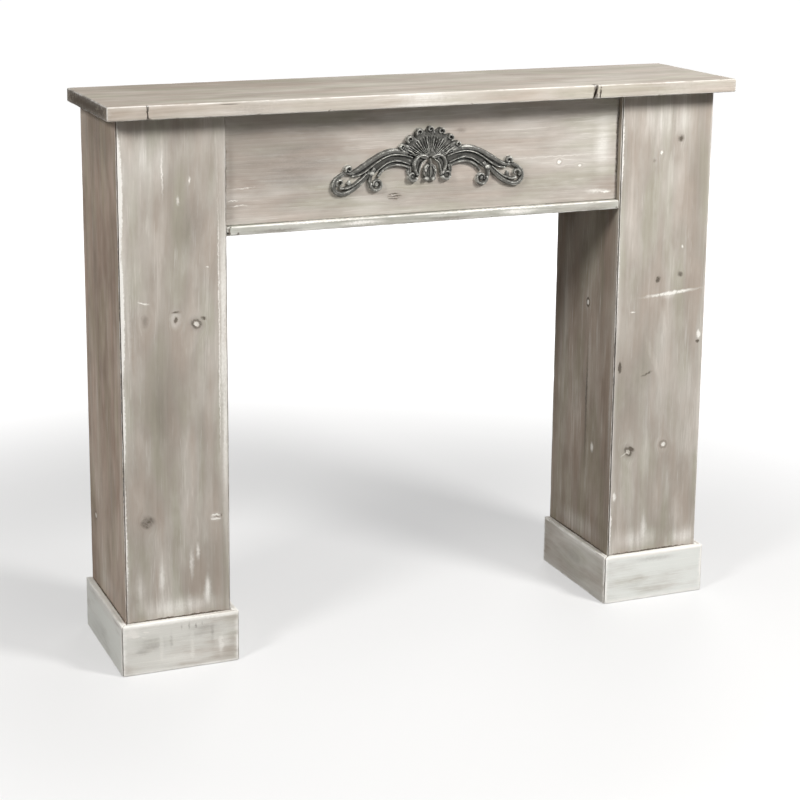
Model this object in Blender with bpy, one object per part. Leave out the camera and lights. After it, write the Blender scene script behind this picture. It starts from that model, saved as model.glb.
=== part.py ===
"""Free-standing mantelpiece surround of whitewashed fir boards with a cast scroll ornament.

Two hollow square pillars stand on the floor, each a front board and two side boards mitred at the
front corners and open at the back. A plinth of thin boards wraps each foot. A shelf board lies on
the pillars, and a frieze board with a strip along its lower edge closes the top of the fire
opening. A cast shell-and-scroll ornament is fixed to the middle of the frieze.
Axes: +X along the shelf, -Y towards the viewer, +Z up. The origin is on the floor, under the
middle of the shelf.
"""
import math

import bmesh
import bpy
from mathutils import Vector

# Driving dimensions, metres
MANTEL_HEIGHT = 1.000
SHELF_LENGTH = 1.180
SHELF_DEPTH = 0.280
SHELF_THICKNESS = 0.024
SHELF_SIDE_OVERHANG = 0.023
SHELF_FRONT_OVERHANG = 0.037

PILLAR_WIDTH = 0.190
PILLAR_BOARD_THICKNESS = 0.018

PLINTH_HEIGHT = 0.093
PLINTH_BOARD_THICKNESS = 0.0115

FRIEZE_HEIGHT = 0.194
FRIEZE_THICKNESS = 0.018
FRIEZE_RECESS = 0.0125
STRIP_HEIGHT = 0.016
STRIP_STANDS_PROUD = 0.0100

ORNAMENT_LENGTH = 0.372
ORNAMENT_HEIGHT = 0.122
ORNAMENT_RELIEF = 0.0110

JOINT_GAP = 0.0003
SHELF_EDGE_EASE = 0.0020
BOARD_EDGE_EASE = 0.0013
STRIP_EDGE_EASE = 0.0016

# Places worked out from the dimensions
BACK = SHELF_DEPTH / 2
PILLAR_FRONT = -SHELF_DEPTH / 2 + SHELF_FRONT_OVERHANG
PILLAR_OUTER = SHELF_LENGTH / 2 - SHELF_SIDE_OVERHANG
PILLAR_INNER = PILLAR_OUTER - PILLAR_WIDTH
SHELF_BOTTOM = MANTEL_HEIGHT - SHELF_THICKNESS
PILLAR_TOP = SHELF_BOTTOM - JOINT_GAP
FRIEZE_TOP = SHELF_BOTTOM - JOINT_GAP
FRIEZE_BOTTOM = FRIEZE_TOP - FRIEZE_HEIGHT
FRIEZE_FRONT = PILLAR_FRONT + FRIEZE_RECESS
STRIP_TOP = FRIEZE_BOTTOM - JOINT_GAP
STRIP_BOTTOM = STRIP_TOP - STRIP_HEIGHT
ORNAMENT_BACK = FRIEZE_FRONT - JOINT_GAP
ORNAMENT_CENTRE = (FRIEZE_TOP + FRIEZE_BOTTOM) / 2 + 0.001

# Finish of each kind of piece: linear colour, roughness, metallic
SHELF_WOOD = ((0.49, 0.43, 0.37), 0.62, 0.0)
PILLAR_WOOD = ((0.45, 0.40, 0.35), 0.66, 0.0)
PLINTH_WOOD = ((0.56, 0.53, 0.48), 0.68, 0.0)
FRIEZE_WOOD = ((0.52, 0.47, 0.41), 0.64, 0.0)
CAST_GREY = ((0.115, 0.118, 0.110), 0.45, 0.35)


def clear_scene():
    """Remove whatever the open scene holds."""
    for scene_object in list(bpy.data.objects):
        bpy.data.objects.remove(scene_object, do_unlink=True)


def make_material(name, finish):
    """A Principled BSDF material with one colour, roughness and metallic value."""
    colour, roughness, metallic = finish
    material = bpy.data.materials.new(name)
    material.use_nodes = True
    shader = material.node_tree.nodes["Principled BSDF"]
    shader.inputs["Base Color"].default_value = (*colour, 1.0)
    shader.inputs["Roughness"].default_value = roughness
    shader.inputs["Metallic"].default_value = metallic
    return material


def add_object(name, mesh_builder, finish):
    """Turn a bmesh into a named object with its own material."""
    mesh = bpy.data.meshes.new(name)
    bmesh.ops.recalc_face_normals(mesh_builder, faces=mesh_builder.faces)
    mesh_builder.to_mesh(mesh)
    mesh_builder.free()
    piece = bpy.data.objects.new(name, mesh)
    bpy.context.collection.objects.link(piece)
    if finish is not None:
        mesh.materials.append(make_material(name, finish))
    return piece


def ease_edges(piece, width):
    """Take the arrises off a board with a narrow bevel."""
    bevel = piece.modifiers.new("eased edges", "BEVEL")
    bevel.width = width
    bevel.segments = 1
    bevel.limit_method = "ANGLE"
    bevel.angle_limit = math.radians(30)


def upright_board(name, plan, bottom, top, finish, edge_ease):
    """Stand a board of the given plan outline between two heights."""
    board = bmesh.new()
    corners = [board.verts.new((x, y, bottom)) for x, y in plan]
    foot = board.faces.new(corners)
    raised = bmesh.ops.extrude_face_region(board, geom=[foot])
    top_corners = [item for item in raised["geom"] if isinstance(item, bmesh.types.BMVert)]
    bmesh.ops.translate(board, verts=top_corners, vec=(0, 0, top - bottom))
    piece = add_object(name, board, finish)
    ease_edges(piece, edge_ease)
    return piece


def box_plan(low_x, high_x, low_y, high_y):
    """Plan outline of a square-cut board."""
    return [(low_x, low_y), (high_x, low_y), (high_x, high_y), (low_x, high_y)]


def build_shelf():
    """The shelf board, laid on the pillars and overhanging them at the front and ends."""
    plan = box_plan(-SHELF_LENGTH / 2, SHELF_LENGTH / 2, -SHELF_DEPTH / 2, SHELF_DEPTH / 2)
    upright_board("shelf_board", plan, SHELF_BOTTOM, MANTEL_HEIGHT, SHELF_WOOD, SHELF_EDGE_EASE)


def wrap_boards(outer, inner, front, back, thickness):
    """Plans of a front board and two side boards that meet it in open mitres.

    outer and inner are the x of the wrap's two side faces on the right-hand pillar.
    """
    front_plan = [
        (inner + JOINT_GAP, front),
        (outer - JOINT_GAP, front),
        (outer - thickness - JOINT_GAP, front + thickness),
        (inner + thickness + JOINT_GAP, front + thickness),
    ]
    outer_plan = [
        (outer, front + JOINT_GAP),
        (outer, back),
        (outer - thickness, back),
        (outer - thickness, front + thickness + JOINT_GAP),
    ]
    inner_plan = [
        (inner, front + JOINT_GAP),
        (inner, back),
        (inner + thickness, back),
        (inner + thickness, front + thickness + JOINT_GAP),
    ]
    return {"front": front_plan, "outer": outer_plan, "inner": inner_plan}


def build_pillar(side_name, side):
    """Three boards of one hollow pillar. side is +1 on the right and -1 on the left."""
    plans = wrap_boards(PILLAR_OUTER, PILLAR_INNER, PILLAR_FRONT, BACK, PILLAR_BOARD_THICKNESS)
    for place, plan in plans.items():
        mirrored = [(side * x, y) for x, y in plan]
        upright_board(f"{side_name}_pillar_{place}_board", mirrored, 0.0, PILLAR_TOP,
                      PILLAR_WOOD, BOARD_EDGE_EASE)


def build_plinth(side_name, side):
    """Three thin boards that wrap one pillar's foot."""
    proud = PLINTH_BOARD_THICKNESS + JOINT_GAP
    plans = wrap_boards(PILLAR_OUTER + proud, PILLAR_INNER - proud, PILLAR_FRONT - proud, BACK,
                        PLINTH_BOARD_THICKNESS)
    for place, plan in plans.items():
        mirrored = [(side * x, y) for x, y in plan]
        upright_board(f"{side_name}_plinth_{place}_board", mirrored, 0.0, PLINTH_HEIGHT,
                      PLINTH_WOOD, BOARD_EDGE_EASE)


def build_frieze():
    """The frieze board between the pillars, and the strip nailed under its lower edge."""
    half_length = PILLAR_INNER - JOINT_GAP
    frieze_back = FRIEZE_FRONT + FRIEZE_THICKNESS
    frieze_plan = box_plan(-half_length, half_length, FRIEZE_FRONT, frieze_back)
    upright_board("frieze_board", frieze_plan, FRIEZE_BOTTOM, FRIEZE_TOP,
                  FRIEZE_WOOD, BOARD_EDGE_EASE)
    strip_front = FRIEZE_FRONT - STRIP_STANDS_PROUD
    strip_plan = box_plan(-half_length, half_length, strip_front, frieze_back)
    upright_board("frieze_strip", strip_plan, STRIP_BOTTOM, STRIP_TOP,
                  FRIEZE_WOOD, STRIP_EDGE_EASE)


# The ornament is drawn on its right half, as shares of its half length (across) and of its
# height (up), from its middle. Relief and roll widths are shares of ORNAMENT_RELIEF.
HALF = ORNAMENT_LENGTH / 2
RISE = ORNAMENT_HEIGHT
ROOT_DEPTH = 0.25 * ORNAMENT_RELIEF
STEPS_PER_SPAN = 2
ROLL_ARC_STEPS = 4
RIDGE_ARC_STEPS = 3

# Shell lobes from the middle outwards: end centre across and up, and end radius, all as shares
SHELL_HINGE = (0.0, -0.035)
SHELL_WEB_CENTRE = (0.0, 0.200)
SHELL_WEB_ACROSS = 0.205 * HALF
SHELL_WEB_UP = 0.200 * RISE
SHELL_LOBES = [(0.0, 0.420, 0.050), (0.109, 0.378, 0.053), (0.207, 0.272, 0.053), (0.287, 0.172, 0.044)]
BUD_CENTRE = (0.0, -0.225)


def curve_through(points, steps=STEPS_PER_SPAN):
    """A smooth line through the given points, as a Catmull-Rom curve."""
    knots = [Vector(point) for point in points]
    before = 2 * knots[0] - knots[1]
    after = 2 * knots[-1] - knots[-2]
    knots = [before] + knots + [after]
    line = []
    for first, start, end, last in zip(knots, knots[1:], knots[2:], knots[3:]):
        for step in range(steps):
            t = step / steps
            swing = (end - first) * t
            bend = (2 * first - 5 * start + 4 * end - last) * t * t
            twist = (3 * start - first - 3 * end + last) * t * t * t
            line.append(start + 0.5 * (swing + bend + twist))
    line.append(knots[-2])
    return line


def scroll(centre, radius, eye_radius, start_degrees, turn_degrees, steps=11):
    """A spiral in shares of the half length, wound from its rim in to its eye."""
    line = []
    for step in range(steps + 1):
        share = step / steps
        angle = math.radians(start_degrees + turn_degrees * share)
        reach = radius + (eye_radius - radius) * share
        across = centre[0] + reach * math.cos(angle)
        up = centre[1] + reach * math.sin(angle) * HALF / RISE
        line.append(Vector((across, up)))
    return line


def place(side, across, up, relief):
    """World point of a place on the ornament; relief is metres proud of its back."""
    return Vector((side * across * HALF, ORNAMENT_BACK - relief, ORNAMENT_CENTRE + up * RISE))


def taper(values, share):
    """Read a list of values spread evenly along a line."""
    position = share * (len(values) - 1)
    index = min(int(position), len(values) - 2)
    blend = position - index
    return values[index] * (1 - blend) + values[index + 1] * blend


def skin(solids, rings):
    """Close a row of rings into one solid, with a flat face on each end ring."""
    solids.faces.new(rings[0])
    solids.faces.new(reversed(rings[-1]))
    for ring, following in zip(rings, rings[1:]):
        for index in range(len(ring)):
            onward = (index + 1) % len(ring)
            solids.faces.new((ring[index], ring[onward], following[onward], following[index]))


def roll(solids, side, line, half_widths, heights, arc_steps=ROLL_ARC_STEPS):
    """Sweep a half-round roll along a line, tapering through its widths and heights."""
    flat_line = [Vector((point[0] * HALF, point[1] * RISE)) for point in line]
    count = len(flat_line)
    rings = []
    for index, point in enumerate(flat_line):
        ahead = flat_line[min(index + 1, count - 1)]
        behind = flat_line[max(index - 1, 0)]
        along = (ahead - behind).normalized()
        across = Vector((-along.y, along.x))
        share = index / (count - 1)
        half_width = taper(half_widths, share) * ORNAMENT_RELIEF
        height = taper(heights, share) * ORNAMENT_RELIEF
        ring = []
        for step in range(arc_steps + 1):
            angle = math.pi * step / arc_steps
            edge = point + across * half_width * math.cos(angle)
            ring.append((edge, height * math.sin(angle)))
        ring.append((point - across * half_width, -ROOT_DEPTH))
        ring.append((point + across * half_width, -ROOT_DEPTH))
        rings.append([solids.verts.new(place(side, edge.x / HALF, edge.y / RISE, relief))
                      for edge, relief in ring])
    skin(solids, rings)


def boss(solids, side, centre, radius_across, radius_up, height, sides=8):
    """A low dome on the ornament, such as a bead, an eye or a lobe's end."""
    rings = []
    for spread, relief in ((1.0, -ROOT_DEPTH), (1.0, 0.45 * height), (0.80, 0.80 * height),
                           (0.42, height)):
        ring = []
        for step in range(sides):
            angle = 2 * math.pi * step / sides
            across = centre[0] * HALF + radius_across * spread * math.cos(angle)
            up = centre[1] * RISE + radius_up * spread * math.sin(angle)
            ring.append(solids.verts.new(place(side, across / HALF, up / RISE, relief)))
        rings.append(ring)
    skin(solids, rings)


def arm(solids, side):
    """The arched band: a cove with an outer roll, two thin ridges and a lower roll."""
    web = curve_through([(0.150, -0.040), (0.300, 0.025), (0.430, 0.010), (0.530, -0.060),
                         (0.600, -0.150)])
    outer_web = curve_through([(0.500, 0.010), (0.620, -0.080), (0.730, -0.165), (0.820, -0.185)])
    outer_roll = curve_through([(0.215, 0.075), (0.330, 0.121), (0.430, 0.111), (0.535, 0.053),
                                (0.645, -0.043), (0.740, -0.130), (0.815, -0.166), (0.862, -0.140)], 3)
    high_ridge = curve_through([(0.170, 0.010), (0.265, 0.058), (0.375, 0.074), (0.460, 0.045),
                                (0.540, -0.020), (0.620, -0.105), (0.700, -0.180), (0.800, -0.213)])
    low_ridge = curve_through([(0.190, -0.090), (0.320, -0.020), (0.420, -0.035),
                               (0.500, -0.105), (0.570, -0.190)])
    lower_roll = curve_through([(0.205, -0.135), (0.280, -0.092), (0.350, -0.080), (0.430, -0.103),
                                (0.495, -0.170), (0.530, -0.245)])
    roll(solids, side, web, [1.20, 1.20, 1.10, 0.95], [0.36, 0.40, 0.36])
    roll(solids, side, outer_web, [0.50, 0.62, 0.70, 0.40], [0.38, 0.40, 0.34])
    roll(solids, side, outer_roll, [0.40, 0.46, 0.48, 0.46, 0.50, 0.40, 0.24], [0.72, 0.78, 0.60])
    roll(solids, side, high_ridge, [0.17, 0.20, 0.20, 0.24], [0.70, 0.76, 0.55], RIDGE_ARC_STEPS)
    roll(solids, side, low_ridge, [0.16, 0.18, 0.16], [0.62, 0.66, 0.60], RIDGE_ARC_STEPS)
    roll(solids, side, lower_roll, [0.26, 0.30, 0.28], [0.60, 0.62, 0.60], RIDGE_ARC_STEPS)
    boss(solids, side, (0.820, -0.098), 0.0088, 0.0088, 0.80 * ORNAMENT_RELIEF, sides=10)


def drop_volute(solids, side):
    """The hanging scroll under the arm's outer end, with its knuckle and its eye."""
    stem = curve_through([(0.555, -0.100), (0.596, -0.190), (0.609, -0.270), (0.602, -0.350)])
    rim = scroll((0.540, -0.343), 0.062, 0.034, 25, -385, steps=14)
    roll(solids, side, stem, [0.36, 0.44, 0.36, 0.30], [0.60, 0.74, 0.72, 0.70])
    roll(solids, side, rim, [0.33, 0.33, 0.30, 0.20], [0.74, 0.76, 0.66, 0.50])
    boss(solids, side, (0.543, -0.343), 0.0062, 0.0062, 0.50 * ORNAMENT_RELIEF)
    boss(solids, side, (0.594, -0.182), 0.0056, 0.0052, 0.86 * ORNAMENT_RELIEF)


def end_loop(solids, side):
    """The looped leaf at the arm's end, with an inner strand, a curl and a teardrop."""
    band = curve_through([(0.600, -0.150), (0.650, -0.235), (0.730, -0.345), (0.820, -0.430),
                          (0.905, -0.452), (0.960, -0.400), (0.972, -0.305), (0.938, -0.225),
                          (0.880, -0.172), (0.840, -0.140)])
    strand = curve_through([(0.640, -0.170), (0.705, -0.255), (0.780, -0.335), (0.860, -0.372),
                            (0.920, -0.360)])
    curl = scroll((0.908, -0.292), 0.040, 0.016, -60, 290, steps=8)
    roll(solids, side, band, [0.40, 0.46, 0.44, 0.44, 0.40], [0.64, 0.68, 0.68, 0.60])
    roll(solids, side, strand, [0.22, 0.26, 0.34], [0.74, 0.76, 0.66], RIDGE_ARC_STEPS)
    roll(solids, side, curl, [0.36, 0.32, 0.22], [0.68, 0.76, 0.60])
    boss(solids, side, (0.815, -0.312), 0.0044, 0.0068, 0.72 * ORNAMENT_RELIEF)


def inner_scroll(solids, side):
    """The scroll that springs from the shell's foot and curls under the arm's inner end."""
    outer = curve_through([(0.010, 0.000), (0.070, 0.040), (0.128, 0.012), (0.160, -0.080),
                           (0.148, -0.180), (0.124, -0.255)])
    rim = scroll((0.176, -0.258), 0.050, 0.022, 185, 330, steps=9)
    inner = curve_through([(0.040, -0.020), (0.085, -0.070), (0.106, -0.160), (0.118, -0.270)])
    tail = curve_through([(0.200, -0.100), (0.213, -0.180), (0.205, -0.250)])
    web = curve_through([(0.070, -0.005), (0.122, -0.070), (0.134, -0.190)])
    roll(solids, side, web, [0.36, 0.40, 0.30], [0.50, 0.50, 0.46], RIDGE_ARC_STEPS)
    roll(solids, side, outer, [0.26, 0.36, 0.38, 0.34], [0.80, 0.88, 0.80])
    roll(solids, side, rim, [0.34, 0.32, 0.22], [0.78, 0.80, 0.56])
    roll(solids, side, inner, [0.18, 0.22, 0.24], [0.76, 0.82, 0.70], RIDGE_ARC_STEPS)
    roll(solids, side, tail, [0.44, 0.46, 0.34], [0.58, 0.60, 0.50])
    boss(solids, side, (0.178, -0.258), 0.0068, 0.0068, 0.46 * ORNAMENT_RELIEF)


def shell(solids):
    """The fluted shell: hollow lobes fanned from the hinge, each edged by one hairpin rim."""
    boss(solids, 1, SHELL_WEB_CENTRE, SHELL_WEB_ACROSS, SHELL_WEB_UP, 0.46 * ORNAMENT_RELIEF, sides=12)
    hinge = Vector(SHELL_HINGE)
    for lobe, (across, up, end_radius) in enumerate(SHELL_LOBES):
        end = Vector((across, up))
        radius = end_radius * HALF
        spread = radius / ORNAMENT_RELIEF
        flat_direction = Vector(((end - hinge).x * HALF, (end - hinge).y * RISE)).normalized()
        lean = math.degrees(math.atan2(flat_direction.y, flat_direction.x))
        tip = end + 0.85 * radius * Vector((flat_direction.x / HALF, flat_direction.y / RISE))
        flute = [hinge.lerp(end, 0.1), hinge.lerp(end, 0.5), end, end.lerp(tip, 0.6), tip]
        bow = scroll(end, 0.84 * end_radius, 0.84 * end_radius, lean + 95, -190, steps=6)
        rim = [hinge.lerp(bow[0], 0.06), hinge.lerp(bow[0], 0.5)] + bow
        rim += [hinge.lerp(bow[-1], 0.5), hinge.lerp(bow[-1], 0.06)]
        for side in ((1,) if lobe == 0 else (1, -1)):
            roll(solids, side, flute, [0.14 * spread, 0.5 * spread, 0.92 * spread, 0.86 * spread,
                                       0.40 * spread], [0.60, 0.58, 0.62], RIDGE_ARC_STEPS)
            roll(solids, side, rim, [0.11, 0.16, 0.20, 0.20, 0.20, 0.16, 0.11],
                 [0.94, 0.90, 0.96, 0.90, 0.94], RIDGE_ARC_STEPS)
            boss(solids, side, end, 0.0036, 0.0036, 0.88 * ORNAMENT_RELIEF, sides=6)


def bud(solids):
    """The hanging bud below the shell, with a raised keel and two small beads at its foot."""
    boss(solids, 1, BUD_CENTRE, 0.0118, 0.0165, 0.82 * ORNAMENT_RELIEF, sides=12)
    keel = curve_through([(0.0, 0.03), (0.0, -0.14), (0.0, -0.30)])
    roll(solids, 1, keel, [0.16, 0.30, 0.20], [0.96, 1.0, 0.94])
    for side in (1, -1):
        boss(solids, side, (0.036, -0.302), 0.0058, 0.0050, 0.84 * ORNAMENT_RELIEF)


def build_ornament():
    """Sweep the rolls and bosses, unite them and cut them flat where they lie on the frieze."""
    solids = bmesh.new()
    for side in (1, -1):
        arm(solids, side)
        drop_volute(solids, side)
        end_loop(solids, side)
        inner_scroll(solids, side)
    shell(solids)
    bud(solids)
    ornament = add_object("cast_ornament", solids, CAST_GREY)

    cutter_builder = bmesh.new()
    bmesh.ops.create_cube(cutter_builder, size=1.0)
    cutter_depth = 2 * ROOT_DEPTH
    bmesh.ops.scale(cutter_builder, verts=cutter_builder.verts,
                    vec=(2 * ORNAMENT_LENGTH, cutter_depth, 2 * ORNAMENT_HEIGHT))
    bmesh.ops.translate(cutter_builder, verts=cutter_builder.verts,
                        vec=(0, ORNAMENT_BACK + cutter_depth / 2, ORNAMENT_CENTRE))
    cutter = add_object("ornament_back_cutter", cutter_builder, None)
    cutter.hide_render = True
    cutter.display_type = "WIRE"

    flat_back = ornament.modifiers.new("unite and cut flat", "BOOLEAN")
    flat_back.operation = "DIFFERENCE"
    flat_back.object = cutter
    flat_back.solver = "EXACT"
    flat_back.use_self = True


clear_scene()
build_shelf()
for side_label, side_sign in (("left", -1), ("right", 1)):
    build_pillar(side_label, side_sign)
    build_plinth(side_label, side_sign)
build_frieze()
build_ornament()
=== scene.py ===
"""Looks of a whitewashed fir mantelpiece with a cast scroll ornament, built round its CAD frame."""
import math

import bmesh
import bpy
import numpy as np
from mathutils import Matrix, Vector, noise


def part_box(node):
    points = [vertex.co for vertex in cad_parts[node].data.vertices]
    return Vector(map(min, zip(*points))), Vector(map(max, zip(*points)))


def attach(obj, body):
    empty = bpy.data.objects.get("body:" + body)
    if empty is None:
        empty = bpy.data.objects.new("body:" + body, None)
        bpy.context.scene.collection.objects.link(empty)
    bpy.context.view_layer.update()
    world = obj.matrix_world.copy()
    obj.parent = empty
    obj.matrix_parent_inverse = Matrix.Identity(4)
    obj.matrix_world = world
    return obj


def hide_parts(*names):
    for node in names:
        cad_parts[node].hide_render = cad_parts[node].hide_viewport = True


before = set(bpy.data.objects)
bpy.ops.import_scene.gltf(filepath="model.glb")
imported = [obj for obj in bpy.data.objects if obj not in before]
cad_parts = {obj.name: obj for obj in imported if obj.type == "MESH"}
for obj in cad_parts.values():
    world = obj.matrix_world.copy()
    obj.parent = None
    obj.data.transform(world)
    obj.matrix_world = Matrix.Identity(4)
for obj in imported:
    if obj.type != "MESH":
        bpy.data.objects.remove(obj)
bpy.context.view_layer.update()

# The camera stands to the left of the mantel and a little above it, as the photographer did.
# Its place and angles were worked out from the corners of the mantel in the photograph.
bpy.ops.object.camera_add(location=(-1.3607, -3.1995, 1.4173),
                          rotation=(math.radians(77.38), math.radians(-0.21), math.radians(-21.264)))
camera = bpy.context.object
camera.name = "camera"
camera.data.sensor_width = 36.0
camera.data.lens = 87.749
camera.data.shift_x = 0.0625
camera.data.shift_y = -0.15
bpy.context.scene.camera = camera
bpy.context.scene.view_settings.view_transform = "Standard"


# The studio: a pale matt floor that runs out into white, a soft main light in front on the right,
# a weaker one on the left, and wide ones in front, above and behind that keep every side readable.
class Wire:
    """What comes out of one node of a finish. Arithmetic on it adds Math nodes."""

    def __init__(self, finish, socket):
        self.finish = finish
        self.socket = socket

    def __add__(self, other):
        return self.finish.maths("ADD", self, other)

    def __sub__(self, other):
        return self.finish.maths("SUBTRACT", self, other)

    def __mul__(self, other):
        return self.finish.maths("MULTIPLY", self, other)

    def __radd__(self, other):
        return self.finish.maths("ADD", other, self)

    def __rsub__(self, other):
        return self.finish.maths("SUBTRACT", other, self)

    def __rmul__(self, other):
        return self.finish.maths("MULTIPLY", other, self)


class Finish:
    """A material in the making: its nodes, and the shader that they feed."""

    def __init__(self, name):
        self.material = bpy.data.materials.new(name)
        self.material.use_nodes = True
        self.tree = self.material.node_tree
        self.shader = self.tree.nodes["Principled BSDF"]
        self.place = self.node("TexCoord", output="Object")

    def node(self, kind, settings=None, sockets=None, output=0):
        """Add a node with its settings, then set or link its sockets."""
        node = self.tree.nodes.new("ShaderNode" + kind)
        for setting, value in (settings or {}).items():
            if setting == "stops":
                self.set_stops(node.color_ramp, value)
            else:
                setattr(node, setting, value)
        for socket, value in (sockets or {}).items():
            if isinstance(value, Wire):
                self.tree.links.new(value.socket, node.inputs[socket])
            else:
                node.inputs[socket].default_value = value
        return Wire(self, node.outputs[output])

    @staticmethod
    def set_stops(ramp, stops):
        """Give a colour ramp its stops, each a position and a colour."""
        while len(ramp.elements) < len(stops):
            ramp.elements.new(1.0)
        for element, (position, colour) in zip(ramp.elements, stops):
            element.position = position
            element.color = (*colour, 1.0)

    def maths(self, operation, first, second):
        return self.node("Math", {"operation": operation}, {0: first, 1: second})

    def vector(self, operation, first, second):
        return self.node("VectorMath", {"operation": operation}, {0: first, 1: second})

    def cloud(self, place, scale, detail=2.0, roughness=0.5, output="Fac"):
        """Soft noise, from 0 to 1 and mostly near the middle, in patches of about 1 / scale."""
        return self.node("TexNoise", None, {"Vector": place, "Scale": scale, "Detail": detail,
                                            "Roughness": roughness}, output)

    def rise(self, value, low, high, bottom=0.0, top=1.0):
        """A smooth step from bottom to top as the value goes from low to high."""
        return self.node("MapRange", {"interpolation_type": "SMOOTHSTEP"},
                         {0: value, 1: low, 2: high, 3: bottom, 4: top})

    def mix(self, share, first, second, blend="MIX"):
        """Blend two colours, each a wire or three numbers."""
        first, second = ((*colour, 1.0) if isinstance(colour, tuple) else colour
                         for colour in (first, second))
        return self.node("Mix", {"data_type": "RGBA", "blend_type": blend},
                         {0: share, 6: first, 7: second}, 2)

    def feed(self, socket, value):
        """Link a wire to the shader, or set a value that is the same all over."""
        if isinstance(value, Wire):
            self.tree.links.new(value.socket, self.shader.inputs[socket])
        else:
            self.shader.inputs[socket].default_value = value

    def dress(self, piece):
        piece.data.materials.clear()
        piece.data.materials.append(self.material)


def deselect():
    """Leave nothing selected, so that an operator acts only on what is added next."""
    if bpy.context.object and bpy.context.object.mode == "EDIT":
        bpy.ops.object.mode_set(mode="OBJECT")
    bpy.ops.object.select_all(action="DESELECT")


FLOOR_SIZE = 30.0
FLOOR_DROP = 0.0003
MANTEL_MIDDLE = Vector((0.0, 0.0, 0.5))


def soft_light(name, azimuth, elevation, distance, size, power, colour):
    """A round area light aimed at the mantel's middle. Azimuth 0 is in front and 90 on the left."""
    turn = math.radians(azimuth)
    tilt = math.radians(elevation)
    outward = Vector((-math.sin(turn) * math.cos(tilt), -math.cos(turn) * math.cos(tilt),
                      math.sin(tilt)))
    deselect()
    bpy.ops.object.light_add(type="AREA", location=MANTEL_MIDDLE + distance * outward,
                             rotation=outward.to_track_quat("Z", "Y").to_euler())
    light = bpy.context.object
    light.name = name
    light.data.shape = "DISK"
    light.data.size = size
    light.data.energy = power
    light.data.color = colour


deselect()
bpy.ops.mesh.primitive_plane_add(size=FLOOR_SIZE, location=(0.0, 0.0, -FLOOR_DROP))
floor = bpy.context.object
floor.name = "studio_floor"
floor_paint = Finish("studio_floor_paint")
floor_paint.feed("Base Color", (0.42, 0.42, 0.42, 1.0))
floor_paint.feed("Roughness", 0.7)
floor_paint.feed("Specular IOR Level", 0.1)
seen_floor = floor_paint.node("LightPath", output="Is Camera Ray")
from_middle = floor_paint.node("VectorMath", {"operation": "LENGTH"}, {0: floor_paint.place}, "Value")
whiteness = seen_floor * floor_paint.rise(from_middle, 0.7, 2.2, 0.44, 1.0)
floor_paint.feed("Emission Color", floor_paint.mix(whiteness, (0.0, 0.0, 0.0), (1.0, 1.0, 1.0)))
floor_paint.feed("Emission Strength", 1.0)
floor_paint.dress(floor)

AIR_BRIGHTNESS = 0.05
studio_air = bpy.data.worlds.new("studio_air")
studio_air.use_nodes = True
bpy.context.scene.world = studio_air
air_nodes = studio_air.node_tree.nodes
air_links = studio_air.node_tree.links
dim_air = air_nodes["Background"]
dim_air.inputs["Color"].default_value = (1.0, 0.955, 0.90, 1.0)
dim_air.inputs["Strength"].default_value = AIR_BRIGHTNESS
white_air = air_nodes.new("ShaderNodeBackground")
white_air.inputs["Color"].default_value = (1.0, 1.0, 1.0, 1.0)
seen_directly = air_nodes.new("ShaderNodeLightPath")
air_mix = air_nodes.new("ShaderNodeMixShader")
air_links.new(seen_directly.outputs["Is Camera Ray"], air_mix.inputs[0])
air_links.new(dim_air.outputs[0], air_mix.inputs[1])
air_links.new(white_air.outputs[0], air_mix.inputs[2])
air_links.new(air_mix.outputs[0], air_nodes["World Output"].inputs["Surface"])

soft_light("key_light", -35.0, 39.0, 3.2, 0.8, 90.0, (1.0, 0.99, 0.975))
soft_light("left_light", 60.0, 34.0, 4.5, 1.2, 104.0, (1.0, 0.985, 0.965))
soft_light("front_light", -12.0, 38.0, 5.0, 2.0, 36.0, (1.0, 1.0, 1.0))
soft_light("top_light", -10.0, 85.0, 4.5, 3.0, 19.0, (1.0, 1.0, 1.0))
soft_light("rear_light", 212.0, 14.0, 5.5, 3.0, 84.0, (1.0, 1.0, 1.0))


# The shelf is one thick fir board, planed, stained grey and rubbed over with thin whitewash, then
# sanded through along its arrises. It lies on the pillars and the frieze. Its front edge has a
# dark split on the right and a finer one, with a chip below it, on the left.
ARRIS_RADIUS = 0.0018
LATTICE_ACROSS = 0.0045
LATTICE_ALONG = 0.0065
RUB_REACH = 0.0025
KNOT_DEPTH = 0.0007
KNOT_REACH = 0.4

# How wide and deep a three-sided cylinder with a radius of 1 is
WEDGE_WIDTH = 1.732
WEDGE_DEPTH = 1.5


def choose(piece):
    """Select one piece alone, for the operators that come next."""
    deselect()
    piece.select_set(True)
    bpy.context.view_layer.objects.active = piece


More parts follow.
